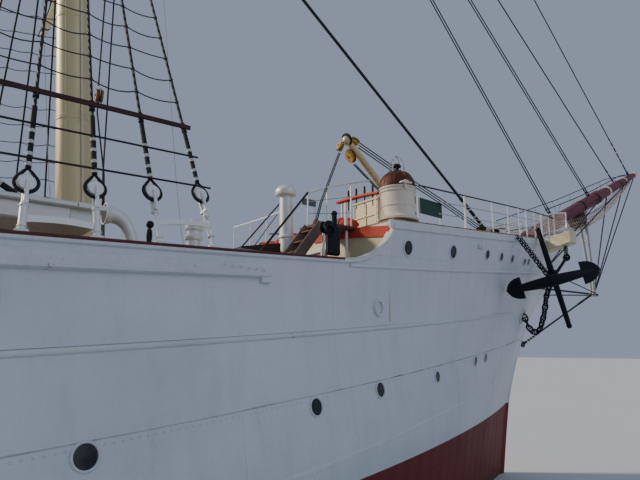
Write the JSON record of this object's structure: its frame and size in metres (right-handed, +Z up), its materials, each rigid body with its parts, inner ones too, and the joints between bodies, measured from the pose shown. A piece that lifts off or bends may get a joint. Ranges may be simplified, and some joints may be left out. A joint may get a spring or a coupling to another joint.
{
  "type": "three-masted full-rigged sailing ship, 1:10 scale model",
  "caption": "Steel full-rigged sailing ship with clipper bow, raised forecastle and poop, square yards that brace, swinging spanker spars, rudder, wheel, propeller and capstan.",
  "frame": {"origin": "amidships on the centreline, at the waterline", "axes": "+X forward to the bow, +Y to port, +Z up"},
  "size_m": [9.2823, 2.56, 4.6573],
  "materials": {
    "hull_red": "dull red bottom paint, weathered",
    "hull_white": "white gloss paint over riveted steel plate, rust streaked",
    "deck_wood": "caulked deck planks, scrubbed",
    "spar_buff": "buff gloss paint on steel tube",
    "rigging_black": "tarred and served steel wire rope",
    "anchor_black": "blue-black paint on forged iron",
    "spar_maroon": "dark crimson gloss paint on steel",
    "striker_grey": "grey paint on steel",
    "fitting_white": "white gloss paint on steel",
    "varnished_wood": "varnished teak",
    "bronze": "dull bronze"
  },
  "bodies": {
    "hull": {"hull_bottom": "hull_red", "hull_topsides": "hull_white", "main_deck": "deck_wood", "bulwark_starboard": "hull_white", "bulwark_port": "hull_white", "forecastle": "hull_white", "forecastle_deck": "deck_wood", "poop": "hull_white", "poop_deck": "deck_wood", "fore_mast": "spar_buff", "main_mast": "spar_buff", "mizzen_mast": "spar_buff", "fore_shrouds_starboard": "rigging_black", "fore_shrouds_port": "rigging_black", "main_shrouds_starboard": "rigging_black", "main_shrouds_port": "rigging_black", "mizzen_shrouds_starboard": "rigging_black", "mizzen_shrouds_port": "rigging_black", "bowsprit": "spar_maroon", "dolphin_striker": "striker_grey", "fore_stay": "rigging_black", "fore_topmast_stay": "rigging_black", "jib_stay": "rigging_black", "flying_jib_stay": "rigging_black", "main_stay": "rigging_black", "mizzen_stay": "rigging_black", "bobstay": "rigging_black", "lamp_tower": "fitting_white", "anchor_starboard": "anchor_black", "anchor_port": "anchor_black", "fore_deckhouse": "fitting_white", "aft_deckhouse": "fitting_white", "chart_house": "varnished_wood", "fore_boat_starboard": "fitting_white", "fore_boat_port": "fitting_white", "aft_boat_starboard": "fitting_white", "aft_boat_port": "fitting_white"},
    "fore_course_yard": {"fore_course_yard": "spar_buff"},
    "fore_lower_topsail_yard": {"fore_lower_topsail_yard": "spar_buff"},
    "fore_upper_topsail_yard": {"fore_upper_topsail_yard": "spar_buff"},
    "fore_topgallant_yard": {"fore_topgallant_yard": "spar_buff"},
    "fore_royal_yard": {"fore_royal_yard": "spar_buff"},
    "main_course_yard": {"main_course_yard": "spar_buff"},
    "main_lower_topsail_yard": {"main_lower_topsail_yard": "spar_buff"},
    "main_upper_topsail_yard": {"main_upper_topsail_yard": "spar_buff"},
    "main_topgallant_yard": {"main_topgallant_yard": "spar_buff"},
    "main_royal_yard": {"main_royal_yard": "spar_buff"},
    "mizzen_course_yard": {"mizzen_course_yard": "spar_buff"},
    "mizzen_lower_topsail_yard": {"mizzen_lower_topsail_yard": "spar_buff"},
    "mizzen_upper_topsail_yard": {"mizzen_upper_topsail_yard": "spar_buff"},
    "mizzen_topgallant_yard": {"mizzen_topgallant_yard": "spar_buff"},
    "mizzen_royal_yard": {"mizzen_royal_yard": "spar_buff"},
    "spanker_boom": {"spanker_boom": "spar_buff"},
    "spanker_gaff": {"spanker_gaff": "spar_buff"},
    "rudder": {"rudder": "hull_red"},
    "steering_wheel": {"steering_wheel": "varnished_wood"},
    "propeller": {"propeller": "bronze"},
    "capstan": {"capstan": "fitting_white"},
    "fish_davit": {"fish_davit": "spar_buff"}
  },
  "joints": [
    {"name": "fore_course_brace", "type": "hinge", "parent": "hull", "child": "fore_course_yard", "pos_m": [2.09786, 0, 1.80678], "axis": [-0.0889, 0, 0.996], "range_deg": [-40, 40]},
    {"name": "fore_lower_topsail_brace", "type": "hinge", "parent": "hull", "child": "fore_lower_topsail_yard", "pos_m": [2.0623, 0, 2.20519], "axis": [-0.0889, 0, 0.996], "range_deg": [-40, 40]},
    {"name": "fore_upper_topsail_brace", "type": "hinge", "parent": "hull", "child": "fore_upper_topsail_yard", "pos_m": [1.98366, 0, 2.38893], "axis": [-0.0889, 0, 0.996], "range_deg": [-40, 40]},
    {"name": "fore_topgallant_brace", "type": "hinge", "parent": "hull", "child": "fore_topgallant_yard", "pos_m": [1.91658, 0, 3.65799], "axis": [-0.0889, 0, 0.996], "range_deg": [-40, 40]},
    {"name": "fore_royal_brace", "type": "hinge", "parent": "hull", "child": "fore_royal_yard", "pos_m": [1.89169, 0, 3.93688], "axis": [-0.0889, 0, 0.996], "range_deg": [-40, 40]},
    {"name": "main_course_brace", "type": "hinge", "parent": "hull", "child": "main_course_yard", "pos_m": [-0.10725, 0, 1.76561], "axis": [-0.0785, 0, 0.9969], "range_deg": [-40, 40]},
    {"name": "main_lower_topsail_brace", "type": "hinge", "parent": "hull", "child": "main_lower_topsail_yard", "pos_m": [-0.13863, 0, 2.16438], "axis": [-0.0785, 0, 0.9969], "range_deg": [-40, 40]},
    {"name": "main_upper_topsail_brace", "type": "hinge", "parent": "hull", "child": "main_upper_topsail_yard", "pos_m": [-0.21535, 0, 2.34893], "axis": [-0.0785, 0, 0.9969], "range_deg": [-40, 40]},
    {"name": "main_topgallant_brace", "type": "hinge", "parent": "hull", "child": "main_topgallant_yard", "pos_m": [-0.27149, 0, 3.64853], "axis": [-0.0785, 0, 0.9969], "range_deg": [-40, 40]},
    {"name": "main_royal_brace", "type": "hinge", "parent": "hull", "child": "main_royal_yard", "pos_m": [-0.29346, 0, 3.92767], "axis": [-0.0785, 0, 0.9969], "range_deg": [-40, 40]},
    {"name": "mizzen_course_brace", "type": "hinge", "parent": "hull", "child": "mizzen_course_yard", "pos_m": [-2.17618, 0, 1.64573], "axis": [-0.0958, 0, 0.9954], "range_deg": [-40, 40]},
    {"name": "mizzen_lower_topsail_brace", "type": "hinge", "parent": "hull", "child": "mizzen_lower_topsail_yard", "pos_m": [-2.21451, 0, 2.04389], "axis": [-0.0958, 0, 0.9954], "range_deg": [-40, 40]},
    {"name": "mizzen_upper_topsail_brace", "type": "hinge", "parent": "hull", "child": "mizzen_upper_topsail_yard", "pos_m": [-2.29444, 0, 2.22707], "axis": [-0.0958, 0, 0.9954], "range_deg": [-40, 40]},
    {"name": "mizzen_topgallant_brace", "type": "hinge", "parent": "hull", "child": "mizzen_topgallant_yard", "pos_m": [-2.35025, 0, 3.2866], "axis": [-0.0958, 0, 0.9954], "range_deg": [-40, 40]},
    {"name": "mizzen_royal_brace", "type": "hinge", "parent": "hull", "child": "mizzen_royal_yard", "pos_m": [-2.37708, 0, 3.56531], "axis": [-0.0958, 0, 0.9954], "range_deg": [-40, 40]},
    {"name": "spanker_boom_swing", "type": "hinge", "parent": "hull", "child": "spanker_boom", "pos_m": [-2.23539, 0, 0.96693], "axis": [-0.0958, 0, 0.9954], "range_deg": [-50, 50]},
    {"name": "spanker_gaff_swing", "type": "hinge", "parent": "hull", "child": "spanker_gaff", "pos_m": [-2.2929, 0, 1.56417], "axis": [-0.0958, 0, 0.9954], "range_deg": [-35, 35]},
    {"name": "rudder_turn", "type": "hinge", "parent": "hull", "child": "rudder", "pos_m": [-3.525, 0, -0.15], "axis": [0, 0, 1], "range_deg": [-35, 35]},
    {"name": "steering_wheel_turn", "type": "hinge", "parent": "hull", "child": "steering_wheel", "pos_m": [-3.65, 0, 0.8549], "axis": [1, 0, 0], "range_deg": [-700, 700]},
    {"name": "propeller_spin", "type": "hinge", "parent": "hull", "child": "propeller", "pos_m": [-3.375, 0, -0.21], "axis": [1, 0, 0], "continuous": true},
    {"name": "capstan_turn", "type": "hinge", "parent": "hull", "child": "capstan", "pos_m": [3.15, 0, 0.82459], "axis": [0, 0, 1], "continuous": true},
    {"name": "fish_davit_swing", "type": "hinge", "parent": "hull", "child": "fish_davit", "pos_m": [2.875, -0.2, 0.8], "axis": [0, 0, 1], "range_deg": [-30, 180]}
  ],
  "couplings": [
    {"joint": "fore_lower_topsail_brace", "follows": "fore_course_brace", "ratio": 1},
    {"joint": "fore_upper_topsail_brace", "follows": "fore_course_brace", "ratio": 1},
    {"joint": "fore_topgallant_brace", "follows": "fore_course_brace", "ratio": 1},
    {"joint": "fore_royal_brace", "follows": "fore_course_brace", "ratio": 1},
    {"joint": "main_lower_topsail_brace", "follows": "main_course_brace", "ratio": 1},
    {"joint": "main_upper_topsail_brace", "follows": "main_course_brace", "ratio": 1},
    {"joint": "main_topgallant_brace", "follows": "main_course_brace", "ratio": 1},
    {"joint": "main_royal_brace", "follows": "main_course_brace", "ratio": 1},
    {"joint": "mizzen_lower_topsail_brace", "follows": "mizzen_course_brace", "ratio": 1},
    {"joint": "mizzen_upper_topsail_brace", "follows": "mizzen_course_brace", "ratio": 1},
    {"joint": "mizzen_topgallant_brace", "follows": "mizzen_course_brace", "ratio": 1},
    {"joint": "mizzen_royal_brace", "follows": "mizzen_course_brace", "ratio": 1},
    {"joint": "steering_wheel_turn", "follows": "rudder_turn", "ratio": 20}
  ]
}
